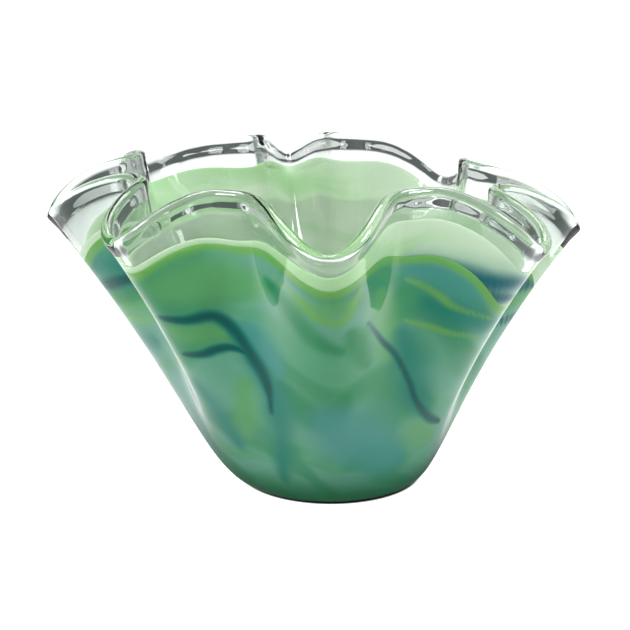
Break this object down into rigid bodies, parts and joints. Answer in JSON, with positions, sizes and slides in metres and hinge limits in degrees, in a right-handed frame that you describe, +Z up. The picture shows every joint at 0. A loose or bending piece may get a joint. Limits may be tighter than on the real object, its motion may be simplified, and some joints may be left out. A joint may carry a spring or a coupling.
{
  "type": "art glass bowl",
  "caption": "Free-standing ruffled bowl in cased blown glass: clear rim, swirled green colour, pale lining and a flat ground foot.",
  "frame": {"origin": "centre of the flat face of the foot that rests on the table", "axes": "+Z up through the bowl's mouth, -Y towards the front of the bowl"},
  "size_m": [0.3048, 0.3079, 0.1928],
  "materials": {
    "clear_glass": "colourless blown glass, fire polished",
    "green_glass": "nearly opaque green glass, cased in clear",
    "teal_glass": "dark teal glass streaks melted into the green",
    "lime_glass": "lime green glass streaks melted into the green",
    "opal_glass": "pale yellow-green opal glass",
    "foot_glass": "thick dark green glass, ground flat underneath"
  },
  "bodies": {
    "root": {"foot_pad": "foot_glass", "outer_casing": "clear_glass", "green_overlay": "green_glass", "teal_streaks": "teal_glass", "lime_streaks": "lime_glass", "opal_lining": "opal_glass", "inner_gather": "clear_glass", "rolled_lip": "clear_glass"}
  },
  "joints": []
}
